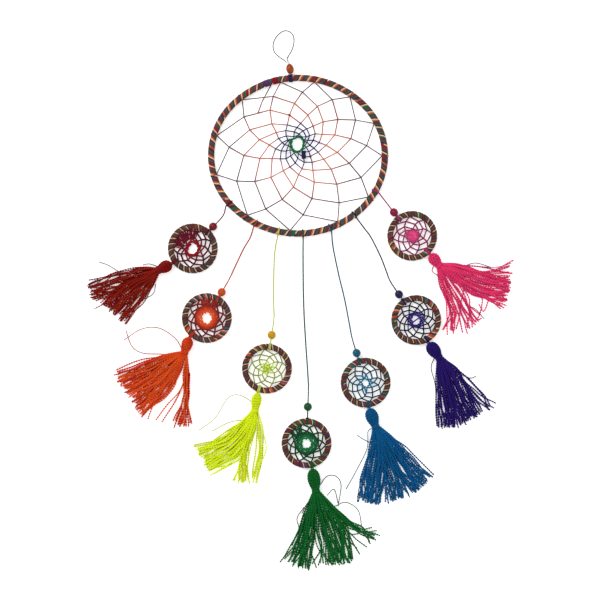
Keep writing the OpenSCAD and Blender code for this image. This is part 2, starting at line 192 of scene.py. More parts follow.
def lift(p, z):
    return np.array([p[0], p[1], z], float)


def rim_at(n, out=0.0):
    """A point of the main rim's centreline, or out from it, where the outward normal is at n degrees."""
    c, s = math.cos(math.radians(n)), math.sin(math.radians(n))
    side = abs(s) < math.sin(math.radians(JOIN))
    middle = (math.copysign(ARC_OFF, c), 0.0) if side else (0.0, -math.copysign(ARC_OFF, s))
    return HOOP_POS + np.array(middle) + ((SIDE_R if side else FLAT_R) + out) * aim(n)


def ring_at(p, a, r):
    return np.array(p["at"], float) + r * aim(a)


def cord_route(p):
    """The cord from inside the main rim, over it, along the surface and through the bead."""
    over = [lift(rim_at(p["rim"], OVER_R * math.cos(math.radians(a))), RIM_Z + OVER_R * math.sin(math.radians(a)))
        for a in (180, 120, 60, 0)]
    return over + [lift(s, LIE_Z) for s in p["stops"]] + [lift(ring_at(p, p["run"], r), BEAD_Z)
        for r in (p["start"], RING_D / 2 + 0.5)]


def loop_middle():
    return rim_at(LOOP_N, RIM_Z + 1.0 + LOOP_BEAD_L / 2)


def loop_route():
    """The hanging loop, from the bead's mouth round and back to it."""
    def end(s, out):
        return lift(loop_middle() + (LOOP_BEAD_L / 2 + out) * aim(LOOP_LEAN) + s * 0.55 * aim(LOOP_LEAN - 90),
            LOOP_BEAD_D / 2)
    last = len(LOOP_STOPS) - 1
    middle = [lift(s, 2.0 if i in (0, last) else 0.55) for i, s in enumerate(LOOP_STOPS)]
    return [end(-1, -1), end(-1, 0.4)] + middle + [end(1, 0.4), end(1, -1)]


def smooth(points, step=3.0, closed=False):
    """A Catmull-Rom curve through the points, with a point about every step."""
    p = np.asarray(points, float)
    before = p[-1] if closed else 2 * p[0] - p[1]
    after = [p[0], p[1]] if closed else [2 * p[-1] - p[-2]]
    q = np.vstack([[before], p, after])
    out = []
    for i in range(1, len(q) - 2):
        a, b, c, d = q[i - 1:i + 3]
        n = max(1, int(round(np.linalg.norm(c - b) / step)))
        for t in np.arange(n) / n:
            out.append(0.5 * (2 * b + (c - a) * t + (2 * a - 5 * b + 4 * c - d) * t * t
                + (3 * b - a - 3 * c + d) * t ** 3))
    return np.array(out if closed else out + [p[-1]])


# ---------------------------------------------------------------- camera
def put(name, data):
    """A scene object that holds the data."""
    obj = bpy.data.objects.new(name, data)
    bpy.context.scene.collection.objects.link(obj)
    return obj


def make_camera():
    data = bpy.data.cameras.new("camera")
    data.lens, data.sensor_width = 96.0, 36.0
    camera = put("camera", data)
    camera.location = (0, 0.017, 1.6)
    bpy.context.scene.camera = camera


make_camera()


# ---------------------------------------------------------------- node tree helpers
def add(tree, kind, inputs=None, **props):
    """A node with its properties set and its inputs linked or set."""
    node = tree.nodes.new(kind)
    for k, v in props.items():
        setattr(node, k, v)
    for k, v in (inputs or {}).items():
        if isinstance(v, bpy.types.NodeSocket):
            tree.links.new(v, node.inputs[k])
        else:
            node.inputs[k].default_value = v
    return node


def made(tree, kind, inputs=None, **props):
    """The first output of a node that add makes."""
    return add(tree, kind, inputs, **props).outputs[0]


def maths(tree, operation, a, b=0.0, clamp=False):
    return made(tree, "ShaderNodeMath", {0: a, 1: b}, operation=operation, use_clamp=clamp)


def times(tree, a, b):
    """a times b. The helpers below add, scale and combine in the same way."""
    return maths(tree, "MULTIPLY", a, b)


def plus(tree, a, b):
    return maths(tree, "ADD", a, b)


def vector(tree, operation, a, b):
    return made(tree, "ShaderNodeVectorMath", {0: a, 1: b}, operation=operation)


def scaled(tree, a, factor):
    return made(tree, "ShaderNodeVectorMath", {0: a, "Scale": factor}, operation="SCALE")


def xyz(tree, x=0.0, y=0.0, z=0.0):
    return made(tree, "ShaderNodeCombineXYZ", {0: x, 1: y, 2: z})


def new_tree(name, kind, inputs, outputs):
    """A node group with named sockets. Returns it with the sockets it is given and the ones it results in."""
    tree = bpy.data.node_groups.new(name, kind)
    for label, socket, default in inputs:
        s = tree.interface.new_socket(label, in_out="INPUT", socket_type=socket)
        if default is not None:
            s.default_value = default
    for label, socket in outputs:
        tree.interface.new_socket(label, in_out="OUTPUT", socket_type=socket)
    return tree, tree.nodes.new("NodeGroupInput").outputs, tree.nodes.new("NodeGroupOutput").inputs


F, I, V, G, M, C = ("NodeSocketFloat", "NodeSocketInt", "NodeSocketVector", "NodeSocketGeometry",
    "NodeSocketMaterial", "NodeSocketColor")


def store(tree, geometry, name, value, kind="FLOAT"):
    return made(tree, "GeometryNodeStoreNamedAttribute", {"Geometry": geometry, "Name": name, "Value": value},
        data_type=kind, domain="POINT")


def sweep_tail(tree, curve, sides, flat, scale, material, output):
    """The end of every thread tree: a profile that knows its own section, swept, smoothed and given its material."""
    circle = add(tree, "GeometryNodeCurvePrimitiveCircle", {"Resolution": sides, "Radius": 1.0}).outputs["Curve"]
    place = made(tree, "GeometryNodeInputPosition")
    profile = store(tree, circle, "section", place, "FLOAT_VECTOR")
    pressed = vector(tree, "MULTIPLY", place, xyz(tree, 1.0, flat, 1.0))
    profile = made(tree, "GeometryNodeSetPosition", {"Geometry": profile, "Position": pressed})
    mesh = made(tree, "GeometryNodeCurveToMesh", {"Curve": curve, "Profile Curve": profile, "Scale": scale,
        "Fill Caps": True})
    mesh = made(tree, "GeometryNodeSetShadeSmooth", {"Geometry": mesh})
    mesh = made(tree, "GeometryNodeRealizeInstances", {"Geometry": mesh})
    mesh = made(tree, "GeometryNodeSetMaterial", {"Geometry": mesh, "Material": material})
    tree.links.new(mesh, output[0])


def make_yarn_tree():
    """Lines become twisted yarn: a two-lobed section that turns along each line, as wide as the line's own radius."""
    tree, given, result = new_tree("Twisted Yarn", "GeometryNodeTree",
        [("Geometry", G, None), ("Spacing", F, 0.001), ("Twist Length", F, 0.006), ("Flatness", F, 0.65),
        ("Sides", I, 6), ("Material", M, None)], [("Geometry", G)])
    curve = made(tree, "GeometryNodeMeshToCurve", {"Mesh": given["Geometry"]})
    curve = made(tree, "GeometryNodeResampleCurve", {"Curve": curve, "Length": given["Spacing"]}, mode="LENGTH")
    along = add(tree, "GeometryNodeSplineParameter").outputs["Length"]
    curve = store(tree, curve, "along", along)
    turns = maths(tree, "DIVIDE", along, given["Twist Length"])
    curve = made(tree, "GeometryNodeSetCurveTilt", {"Curve": curve, "Tilt": times(tree, turns, math.tau)})
    width = made(tree, "GeometryNodeInputNamedAttribute", {"Name": "width"}, data_type="FLOAT")
    sweep_tail(tree, curve, given["Sides"], given["Flatness"], width, given["Material"], result)
    return tree


def make_winding_tree():
    """A line becomes the threads that are wound round it side by side."""
    tree, given, result = new_tree("Winding", "GeometryNodeTree", [("Geometry", G, None), ("Turns", I, 20),
        ("Steps", I, 14), ("Strands", I, 5), ("Hand", F, -1.0), ("Coil Radius", F, 0.003),
        ("Thread Radius", F, 0.0007), ("First Thread", F, 1.0), ("Unevenness", F, 0.00008), ("Sides", I, 6),
        ("Material", M, None)], [("Geometry", G)])
    curve = made(tree, "GeometryNodeMeshToCurve", {"Mesh": given["Geometry"]})
    count = plus(tree, times(tree, given["Turns"], given["Steps"]), 1)
    curve = made(tree, "GeometryNodeResampleCurve", {"Curve": curve, "Count": count}, mode="COUNT")
    copies = add(tree, "GeometryNodeDuplicateElements", {"Geometry": curve, "Amount": given["Strands"]},
        domain="SPLINE")
    strand = copies.outputs["Duplicate Index"]
    share = maths(tree, "DIVIDE", strand, given["Strands"])
    spline = add(tree, "GeometryNodeSplineParameter")
    travelled = times(tree, spline.outputs["Factor"], given["Turns"])
    angle = plus(tree, share, times(tree, travelled, given["Hand"]))
    angle = times(tree, angle, math.tau)
    curve = store(tree, copies.outputs[0], "strand", strand)
    curve = store(tree, curve, "turn", plus(tree, travelled, share))
    curve = store(tree, curve, "tone", made(tree, "ShaderNodeTexNoise",
        {"W": times(tree, plus(tree, travelled, times(tree, strand, 40.0)), 0.8)}, noise_dimensions="1D"))
    first = maths(tree, "LESS_THAN", strand, 0.5)
    thread = made(tree, "ShaderNodeMapRange", {0: first, 3: 1.0, 4: given["First Thread"]})
    curve = store(tree, curve, "thread", times(tree, thread, given["Thread Radius"]))
    curve = store(tree, curve, "along", times(tree, travelled, times(tree, given["Coil Radius"], math.tau)))
    tangent = made(tree, "GeometryNodeInputTangent")
    outward = vector(tree, "CROSS_PRODUCT", tangent, (0, 0, 1))
    place = made(tree, "GeometryNodeInputPosition")
    bump = made(tree, "ShaderNodeTexNoise", {"Vector": place, "W": share, "Scale": 260.0}, noise_dimensions="4D")
    radius = plus(tree, given["Coil Radius"], times(tree, maths(tree, "SUBTRACT", bump, 0.5), given["Unevenness"]))
    part_out = scaled(tree, outward, maths(tree, "COSINE", angle))
    part_up = xyz(tree, z=maths(tree, "SINE", angle))
    offset = vector(tree, "ADD", part_out, part_up)
    offset = scaled(tree, offset, radius)
    curve = made(tree, "GeometryNodeSetPosition", {"Geometry": curve, "Offset": offset})
    width = made(tree, "GeometryNodeInputNamedAttribute", {"Name": "thread"}, data_type="FLOAT")
    wound = add(tree, "ShaderNodeSeparateXYZ", {0: place})
    pressed = xyz(tree, wound.outputs[0], wound.outputs[1], maths(tree, "MAXIMUM", wound.outputs[2], width))
    curve = made(tree, "GeometryNodeSetPosition", {"Geometry": curve, "Position": pressed})
    sweep_tail(tree, curve, given["Sides"], 1.0, width, given["Material"], result)
    return tree


def make_knot_tree():
    """Points become small thread knots, each turned and sized its own way."""
    tree, given, result = new_tree("Knots", "GeometryNodeTree", [("Geometry", G, None), ("Size", F, 0.001),
        ("Seed", I, 1), ("Material", M, None)], [("Geometry", G)])
    ball = made(tree, "GeometryNodeMeshIcoSphere", {"Radius": 1.0, "Subdivisions": 3})
    place = made(tree, "GeometryNodeInputPosition")
    ridges = add(tree, "ShaderNodeTexWave", {"Vector": place, "Scale": 1.5, "Distortion": 1.5}).outputs["Fac"]
    normal = made(tree, "GeometryNodeInputNormal")
    swell = scaled(tree, normal, times(tree, ridges, 0.25))
    ball = made(tree, "GeometryNodeSetPosition", {"Geometry": ball, "Offset": swell})
    ball = store(tree, ball, "along", made(tree, "ShaderNodeSeparateXYZ", {0: place}))
    ball = store(tree, ball, "section", place, "FLOAT_VECTOR")
    points = made(tree, "GeometryNodeMeshToPoints", {"Mesh": given["Geometry"]})
    turn = made(tree, "FunctionNodeRandomValue", {"Max": (math.tau,) * 3, "Seed": given["Seed"]},
        data_type="FLOAT_VECTOR")
    size = made(tree, "FunctionNodeRandomValue", {0: (0.75, 0.6, 0.55), 1: (1.15, 0.9, 0.8), "Seed": given["Seed"]},
        data_type="FLOAT_VECTOR")
    size = scaled(tree, size, given["Size"])
    knots = made(tree, "GeometryNodeInstanceOnPoints", {"Points": points, "Instance": ball, "Rotation": turn,
        "Scale": size})
    knots = made(tree, "GeometryNodeRealizeInstances", {"Geometry": knots})
    knots = made(tree, "GeometryNodeSetShadeSmooth", {"Geometry": knots})
    knots = made(tree, "GeometryNodeSetMaterial", {"Geometry": knots, "Material": given["Material"]})
    tree.links.new(knots, result[0])
    return tree


YARN, WINDING, KNOTS = make_yarn_tree(), make_winding_tree(), make_knot_tree()
NET_THREAD = dict(Spacing=0.5 * MM, Twist_Length=3 * MM, Flatness=0.85, Sides=6)


def grow(name, lines, tree, closed=False, points=None, **inputs):
    """A finished mesh object that a tree makes from lines in millimetres: (points, widths, tone), or points."""
    verts, edges, widths, tones = [], [], [], []
    for line in lines:
        pts, width, tone = line if isinstance(line, tuple) else (line, 1.0, 0.5)
        first = len(verts)
        verts += [tuple(np.asarray(p) * MM) for p in pts]
        edges += [(i, i + 1) for i in range(first, len(verts) - 1)] + ([(len(verts) - 1, first)] if closed else [])
        widths += list(np.broadcast_to(np.asarray(width, float) * MM, len(pts)))
        tones += list(np.broadcast_to(np.asarray(tone, float), len(pts)))
    if points is not None:
        verts, edges = [tuple(np.asarray(p) * MM) for p in points], []
        widths, tones = [MM] * len(verts), [0.5] * len(verts)
    mesh = bpy.data.meshes.new(name + "_lines")
    mesh.from_pydata(verts, edges, [])
    for label, values in (("width", widths), ("tone", tones)):
        mesh.attributes.new(label, "FLOAT", "POINT").data.foreach_set("value", np.array(values, np.float32))
    source = put(name + "_lines", mesh)
    modifier = source.modifiers.new("make", "NODES")
    modifier.node_group = tree
    sockets = {s.name: s.identifier for s in tree.interface.items_tree if s.in_out == "INPUT"}
    for label, value in inputs.items():
        modifier[sockets[label.replace("_", " ")]] = value
    bpy.context.view_layer.update()
    grown = bpy.data.meshes.new_from_object(source.evaluated_get(bpy.context.evaluated_depsgraph_get()))
    grown.name = name
    bpy.data.objects.remove(source)
    bpy.data.meshes.remove(mesh)
    return put(name, grown)


def join(name, objects):
    """One object from several, with its origin kept."""
    bpy.ops.object.select_all(action="DESELECT")
    for o in objects:
        o.select_set(True)
    bpy.context.view_layer.objects.active = objects[0]
    bpy.ops.object.join()
    objects[0].name = objects[0].data.name = name
    return objects[0]


# ---------------------------------------------------------------- shader groups
def spread(tree, name, output="Fac"):
    """A value that the mesh stores."""
    return add(tree, "ShaderNodeAttribute", attribute_name=name).outputs[output]


def make_fibre_group():
    """Twisted thread: where it lies between plies or fibres, and the small relief that they make."""
    tree, given, result = new_tree("Thread Fibre", "ShaderNodeTree", [("Pitch", F, 0.0), ("Relief", F, 0.6)],
        [("Crest", F), ("Fibre", F), ("Tone", F), ("Normal", V)])
    along = spread(tree, "along")
    section = spread(tree, "section", "Vector")
    tone = spread(tree, "tone")
    length = times(tree, along, 1000.0)
    turned = made(tree, "ShaderNodeVectorRotate", {"Vector": section, "Axis": (0, 0, 1),
        "Angle": times(tree, length, given["Pitch"])})
    across = add(tree, "ShaderNodeSeparateXYZ", {0: turned})
    crest = maths(tree, "ABSOLUTE", across.outputs[0])
    streak = xyz(tree, times(tree, across.outputs[0], 3.5), times(tree, across.outputs[1], 3.5),
        plus(tree, times(tree, length, 0.5), times(tree, tone, 90.0)))
    fibre = made(tree, "ShaderNodeTexNoise", {"Vector": streak, "Scale": 1.0, "Detail": 3.0, "Roughness": 0.7})
    height = plus(tree, times(tree, crest, 0.6), times(tree, fibre, 0.4))
    bump = made(tree, "ShaderNodeBump", {"Strength": given["Relief"], "Distance": 0.0004, "Height": height})
    for label, value in (("Crest", crest), ("Fibre", fibre), ("Tone", tone), ("Normal", bump)):
        tree.links.new(value, result[label])
    return tree


def make_dye_and_shade_group():
    """Dyed cloth colour, with painted shade in the grooves, paler on the fibres, varied from strand to strand."""
    tree, given, result = new_tree("Dye and Painted Shade", "ShaderNodeTree", [("Color", C, (0.5, 0.5, 0.5, 1)), ("Crest", F, 1.0),
        ("Fibre", F, 0.5), ("Tone", F, 0.5), ("Depth", F, 0.5)], [("Color", C)])
    # painted shade: the colour is darkened where the thread lies in the grooves between its plies
    shade = times(tree, maths(tree, "SUBTRACT", 1.0, given["Crest"]), given["Depth"])
    light = plus(tree, maths(tree, "SUBTRACT", 0.85, shade), times(tree, given["Fibre"], 0.4))
    light = times(tree, light, plus(tree, 0.75, times(tree, given["Tone"], 0.5)))
    hue = plus(tree, 0.49, times(tree, given["Tone"], 0.02))
    dyed_and_shaded = add(tree, "ShaderNodeHueSaturation", {"Hue": hue, "Saturation": 1.0, "Value": light,
        "Color": given["Color"]})
    tree.links.new(dyed_and_shaded.outputs[0], result[0])
    return tree


def make_palette_group():
    """Which of the ribbon's colours a wound thread has here, and where an accent dye takes over, and which."""
    tree, given, result = new_tree("Ribbon Order", "ShaderNodeTree",
        [("Count", F, 6.0), ("Drift", F, 1.0), ("Seed", F, 0.0)], [("Share", F), ("Accent", F), ("Choice", F)])
    strand = spread(tree, "strand")
    turn = spread(tree, "turn")

    def noise(rate, apart, shift):
        spot = xyz(tree, times(tree, turn, rate), times(tree, strand, apart), plus(tree, given["Seed"], shift))
        return made(tree, "ShaderNodeTexNoise", {"Vector": spot, "Scale": 1.0, "Detail": 1.0})

    shift = times(tree, maths(tree, "SUBTRACT", noise(0.33, 7.3, 0.0), 0.5), given["Drift"])
    cream = maths(tree, "GREATER_THAN", strand, 0.5)
    skipped = times(tree, maths(tree, "GREATER_THAN", noise(0.9, 0.0, 60.0), 0.55),
        maths(tree, "SUBTRACT", 2.0, times(tree, cream, 2.0)))
    place = plus(tree, plus(tree, strand, 0.5), plus(tree, times(tree, shift, cream), skipped))
    tree.links.new(maths(tree, "FRACT", maths(tree, "DIVIDE", place, given["Count"])), result["Share"])
    mask = maths(tree, "GREATER_THAN", noise(0.4, 0.35, 20.0), 0.6)
    tree.links.new(times(tree, mask, cream), result["Accent"])
    tree.links.new(noise(0.23, 0.3, 40.0), result["Choice"])
    return tree


def make_grain_group():
    """Turned wood: fine rings stretched along the object's Z, pores, and their relief."""
    tree, given, result = new_tree("Wood Grain", "ShaderNodeTree", [("Scale", F, 1.0)],
        [("Grain", F), ("Pores", F), ("Normal", V)])
    place = add(tree, "ShaderNodeTexCoord").outputs["Object"]
    stretch = vector(tree, "MULTIPLY", place, (900, 260, 900))
    stretch = scaled(tree, stretch, given["Scale"])
    grain = made(tree, "ShaderNodeTexNoise", {"Vector": stretch, "Scale": 1.0, "Detail": 4.0, "Distortion": 0.6})
    pores = add(tree, "ShaderNodeTexVoronoi", {"Vector": stretch, "Scale": 2.2}).outputs["Distance"]
    pores = made(tree, "ShaderNodeMapRange", {0: pores, 1: 0.05, 2: 0.35})
    bump = made(tree, "ShaderNodeBump", {"Strength": 0.25, "Distance": 0.0002, "Height": times(tree, grain, pores)})
    for label, value in (("Grain", grain), ("Pores", pores), ("Normal", bump)):
        tree.links.new(value, result[label])
    return tree


FIBRE, DYE_AND_SHADE, ORDER, GRAIN = make_fibre_group(), make_dye_and_shade_group(), make_palette_group(), make_grain_group()


def linear(code):
    """A hex colour as linear RGBA."""
    channels = [int(code[i:i + 2], 16) / 255 for i in (1, 3, 5)]
    return tuple(c / 12.92 if c <= 0.04045 else ((c + 0.055) / 1.055) ** 2.4 for c in channels) + (1.0,)


def new_material(name, settings):
    material = bpy.data.materials.new(name)
    material.use_nodes = True
    material.node_tree.nodes.clear()
    tree = material.node_tree
    shader = add(tree, "ShaderNodeBsdfPrincipled", settings)
    add(tree, "ShaderNodeOutputMaterial", {"Surface": shader.outputs[0]})
    return material, tree, shader


def group(tree, inner, inputs):
    """A group node. Its tree is set before its inputs, which the tree brings with it."""
    node = add(tree, "ShaderNodeGroup", node_tree=inner)
    for label, value in inputs.items():
        if isinstance(value, bpy.types.NodeSocket):
            tree.links.new(value, node.inputs[label])
        else:
            node.inputs[label].default_value = value
    return node


def cloth(name, colour, pitch=0.0, groove_shade=0.5, relief=0.6):
    """A thread or yarn material. colour is a hex code, or a function that makes a colour socket in the tree."""
    material, tree, shader = new_material(name, {"Roughness": 0.8, "Specular IOR Level": 0.15})
    fibre = group(tree, FIBRE, {"Pitch": pitch, "Relief": relief})
    # the group below paints shade into the dye: darker grooves, and darker tones
    dye_and_shade = group(tree, DYE_AND_SHADE, {"Depth": groove_shade, "Color": colour(tree) if callable(colour) else linear(colour),
        **{label: fibre.outputs[label] for label in ("Crest", "Fibre", "Tone")}})
    tree.links.new(dye_and_shade.outputs[0], shader.inputs["Base Color"])
    tree.links.new(fibre.outputs["Normal"], shader.inputs["Normal"])
    return material


def ramp(tree, fac, stops, interpolation="LINEAR"):
    node = add(tree, "ShaderNodeValToRGB", {0: fac})
    node.color_ramp.interpolation = interpolation
    elements = node.color_ramp.elements
    while len(elements) < len(stops):
        elements.new(1.0)
    for element, (place, code) in zip(elements, stops):
        element.position, element.color = place, linear(code)
    return node.outputs[0]


def ribbon(name, colours, accent, drift, seed):
    """The rim's wound threads, in an order of colours, with a stretch here and there that is dyed otherwise."""
    def colour(tree):
        order = group(tree, ORDER, {"Count": float(len(colours)), "Drift": drift, "Seed": seed})
        plain_dye = ramp(tree, order.outputs["Share"], [(i / len(colours), c) for i, c in enumerate(colours)],
            "CONSTANT")
        other = ramp(tree, order.outputs["Choice"], [(0.0, accent[0]), (0.45, accent[1]), (0.55, accent[2])],
            "CONSTANT")
        return add(tree, "ShaderNodeMix", {0: order.outputs["Accent"], 6: plain_dye, 7: other},
            data_type="RGBA").outputs[2]
    return cloth(name, colour, pitch=1.2, groove_shade=0.4, relief=0.5)


def wood(name, code, polish):
    material, tree, shader = new_material(name, {"Roughness": 0.4, "Specular IOR Level": 0.1, "Coat Weight": polish,
        "Coat Roughness": 0.07})
    grain = group(tree, GRAIN, {})
    dark = tuple(c * 0.4 for c in linear(code)[:3]) + (1.0,)
    mix = add(tree, "ShaderNodeMix", {0: grain.outputs["Grain"], 6: dark, 7: linear(code)},
        data_type="RGBA").outputs[2]
    mix = add(tree, "ShaderNodeMix", {0: grain.outputs["Pores"], 6: dark, 7: mix}, data_type="RGBA").outputs[2]
    tree.links.new(mix, shader.inputs["Base Color"])
    tree.links.new(grain.outputs["Normal"], shader.inputs["Normal"])
    return material


def web_colour(tree):
    """The main web's variegated thread: dark at the rim, then salmon, navy and green towards the middle."""
    place = add(tree, "ShaderNodeTexCoord").outputs["Object"]
    away = add(tree, "ShaderNodeVectorMath", {0: place, 1: (-0.0025, 0.1715, 0.0033)},
        operation="DISTANCE").outputs["Value"]
    noise = made(tree, "ShaderNodeTexNoise", {"Vector": place, "Scale": 28.0, "Detail": 1.0})
    drift = times(tree, maths(tree, "SUBTRACT", noise, 0.5), times(tree, away, 0.7))
    share = maths(tree, "DIVIDE", plus(tree, away, drift), 0.085, clamp=True)
    return ramp(tree, share, [(0.0, "#0E6A38"), (0.1, "#0E6A38"), (0.12, "#1C1C5E"), (0.23, "#2A225E"),
        (0.3, "#C6745E"), (0.5, "#CC806A"), (0.62, "#986058"), (0.72, "#6A4A50"), (1.0, "#58444C")])


def rounds(edge, inner):
    """A small web's dye: deep in its outer rounds, and full in the inner ones."""
    def colour(tree):
        tone = spread(tree, "tone")
        return ramp(tree, tone, [(0.0, edge), (0.3, edge), (0.75, inner), (1.0, inner)])
    return colour


MAIN_RIBBON = ["#F6CC98", "#C46644", "#6E343A", "#54463E", "#50545A", "#40323A"]
SMALL_RIBBON = ["#E8CFA0", "#4E2A28", "#7A4630", "#3A4246", "#542834"]
ACCENTS = ["#1E6A50", "#9A2030", "#54305E"]
MATERIALS = {
    "main_wrap": ribbon("main_wrap", MAIN_RIBBON, ACCENTS, 2.4, 1.0),
    "main_web": cloth("main_web", web_colour, pitch=0.8, groove_shade=0.3),
    "loop_thread": cloth("loop_thread", "#1C2236", pitch=0.9, groove_shade=0.4),
    "loop_bead": wood("loop_bead", "#AE4A08", 0.3),
    "cane": wood("cane", "#C9A877", 0.0),
    "wrap_end": cloth("wrap_end", "#5A3068", pitch=0.9, groove_shade=0.4),
    "lashing": cloth("lashing", "#2A2050", pitch=0.9, groove_shade=0.4),
    "knot": cloth("knot", "#8E3A2C", pitch=0.9, groove_shade=0.4),
}
for tint, look in LOOKS.items():
    MATERIALS[tint + "_yarn"] = cloth(tint + "_yarn", look["yarn"], groove_shade=look["groove_shade"], relief=0.8)
    MATERIALS[tint + "_thread"] = cloth(tint + "_thread", look["thread"], pitch=0.8, groove_shade=0.4)
    MATERIALS[tint + "_web"] = cloth(tint + "_web", rounds(look["edge"], look["thread"]), pitch=0.8, groove_shade=0.4)
    MATERIALS[tint + "_cord"] = cloth(tint + "_cord", look["cord"], groove_shade=0.55)
    MATERIALS[tint + "_bead"] = wood(tint + "_bead", look["bead"], 0.3)
    MATERIALS[tint + "_wrap"] = ribbon(tint + "_wrap", SMALL_RIBBON, look["accent"], 2.0, float(len(MATERIALS)))


def finish_piece(obj, body, nodes=()):
    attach(obj, body)
    if nodes:
        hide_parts(*nodes)
    return obj


# ---------------------------------------------------------------- cords
def make_cord(name, route, diameter, body, material, node):
    path = smooth(route, 2.0)
    begin = np.clip(0.15 + np.linalg.norm(path - path[0], axis=1) / 8, 0, 1)
    obj = grow(name, [(path, diameter / 2 * begin, 0.5)], YARN, Spacing=0.3 * MM * diameter / 1.5,
        Twist_Length=4.2 * MM * diameter / 1.5, Flatness=0.8, Sides=10, Material=MATERIALS[material])
    finish_piece(obj, body, [node])
    return obj


for tint, pendant in PENDANTS.items():
    make_cord(tint + "_cord_thread", cord_route(pendant), CORD_D, tint + " pendant", tint + "_cord",
        tint + "_cord")
make_cord("hanging_loop_thread", loop_route(), LOOP_CORD_D, "hanging loop", "loop_thread",
    "hanging_loop")


# ---------------------------------------------------------------- rims
def arc(centre, radius, z, start=0.0, sweep=360.0, step=2.0):
    n = max(3, int(abs(sweep) / step))
    ends = n if abs(sweep) >= 360 else n + 1
    return [lift(np.asarray(centre) + radius * aim(start + sweep * i / n), z) for i in range(ends)]


main_rim = [lift(rim_at(a), RIM_Z) for a in np.arange(0, 360, 1.0)]
wrap = grow("main_wrap_threads", [main_rim], WINDING, closed=True, Turns=58, Steps=16, Strands=6, Hand=1.0,
    Coil_Radius=2.62 * MM, Thread_Radius=0.76 * MM, First_Thread=0.9, Unevenness=0.3 * MM, Sides=6,
    Material=MATERIALS["main_wrap"])
finish_piece(wrap, "base", ["main_hoop_wrap"])
for node in ["main_hoop_cane"] + [tint + "_hoop_cane" for tint in PENDANTS]:
    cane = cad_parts[node].data
    cane.materials.clear()
    cane.materials.append(MATERIALS["cane"])


def lashing(name, centre, radius, z, angle, width, turns, coil, thread, material, strands=1):
    """Thread wound round a rim over a width of it, at an angle."""
    half = math.degrees(width / 2 / radius)
    return grow(name, [arc(centre, radius, z, angle - half, 2 * half, half / 4)], WINDING, Turns=turns, Steps=16,
        Strands=strands, Coil_Radius=coil * MM, Thread_Radius=thread * MM, Unevenness=0.1 * MM, Sides=8,
        Material=material)


def main_lashing(name, angle, width, turns, material, proud=0.4, thread=0.42):
    """The same on the main rim, whose arc there is the circle of its own middle."""
    side = abs(math.sin(math.radians(angle))) < math.sin(math.radians(JOIN))
    radius = SIDE_R if side else FLAT_R
    return lashing(name, rim_at(angle) - radius * aim(angle), radius, RIM_Z, angle, width, turns, RIM_Z + proud,
        thread, material)


for tint, pendant in PENDANTS.items():
    finish_piece(main_lashing(tint + "_hitch", pendant["rim"], 1.9, 2, MATERIALS[tint + "_cord"], 0.2, 0.38), "base")
    centre = np.array(pendant["at"], float)
    wound = grow(tint + "_wrap_threads", [arc(centre, RING_R, RING_Z)], WINDING, closed=True, Turns=23, Steps=14,
        Strands=5, Coil_Radius=2.45 * MM, Thread_Radius=0.72 * MM, First_Thread=0.6, Unevenness=0.42 * MM, Sides=6,
        Material=MATERIALS[tint + "_wrap"])
    finish_piece(wound, tint + " small hoop", [tint + "_hoop_wrap"])
    ties = [lashing(f"tie_{i}", centre, RING_R, RING_Z, pendant[key], width, turns, RING_Z + 0.35, 0.42,
        MATERIALS[tint + "_cord"]) for i, (key, width, turns) in enumerate((("run", 2.4, 3), ("tie", 2.4, 3)))]
    finish_piece(join(tint + "_hoop_ties", ties), tint + " small hoop")

hitch = main_lashing("loop_hitch_threads", LOOP_N, 4.4, 5, MATERIALS["purple_cord"])
finish_piece(hitch, "base", ["loop_hitch"])
starts = [main_lashing("start", 104, 5.6, 7, MATERIALS["red_thread"], -0.2, 0.5),
    main_lashing("end", 109.3, 5.0, 6, MATERIALS["wrap_end"], -0.2, 0.5)]
finish_piece(join("wrap_start_threads", starts), "base")


# ---------------------------------------------------------------- webs
def next_round(points, middle, draw, share=0.32):
    k = np.asarray(points)
    m = (1 - share) * k + share * np.roll(k, -1, axis=0)
    return m + draw * (middle - m)


def web_lines(ties, middle, draws, z, width, rng, slack=0.3, squeeze=0):
    """Each round of thread hangs by hitches in the spans of the round before it. Returns its lines and its knots."""
    lines, knots, outer = [], [], np.asarray(ties, float)
    for i, draw in enumerate(draws):
        inner = next_round(outer, middle, draw)
        inner = inner + rng.normal(0, slack, inner.shape) * min(1.0, 0.4 + draw * 3)
        if len(draws) - i <= squeeze:
            inner = middle + (inner - inner.mean(axis=0)) * (0.93, 1.0) + 0.4 * (inner.mean(axis=0) - middle)
        zigzag = np.empty((2 * len(outer), 2))
        zigzag[0::2], zigzag[1::2] = outer, inner
        path = []
        for a, b in zip(zigzag, np.roll(zigzag, -1, axis=0)):
            for t in (0.0, 0.35, 0.7):
                path.append(lift(a + t * (b - a), z + 0.25 * math.sin(7 * t + i)))
        lines.append((path, width * rng.uniform(0.9, 1.08), float(np.clip((i + rng.uniform(0, 1)) / len(draws), 0,
            1))))
        knots += [lift(p, z) for p in inner]
        outer = inner
    return lines, knots


def make_web(name, lines, knots, material, body, node, seed, more=()):
    threads = grow(name + "_net", lines, YARN, closed=True, **NET_THREAD, Material=material)
    hitches = grow(name + "_knots", [], KNOTS, points=knots, Size=KNOT_SIZE * MM, Seed=seed, Material=material)
    return finish_piece(join(name, [threads, hitches, *more]), body, [node])


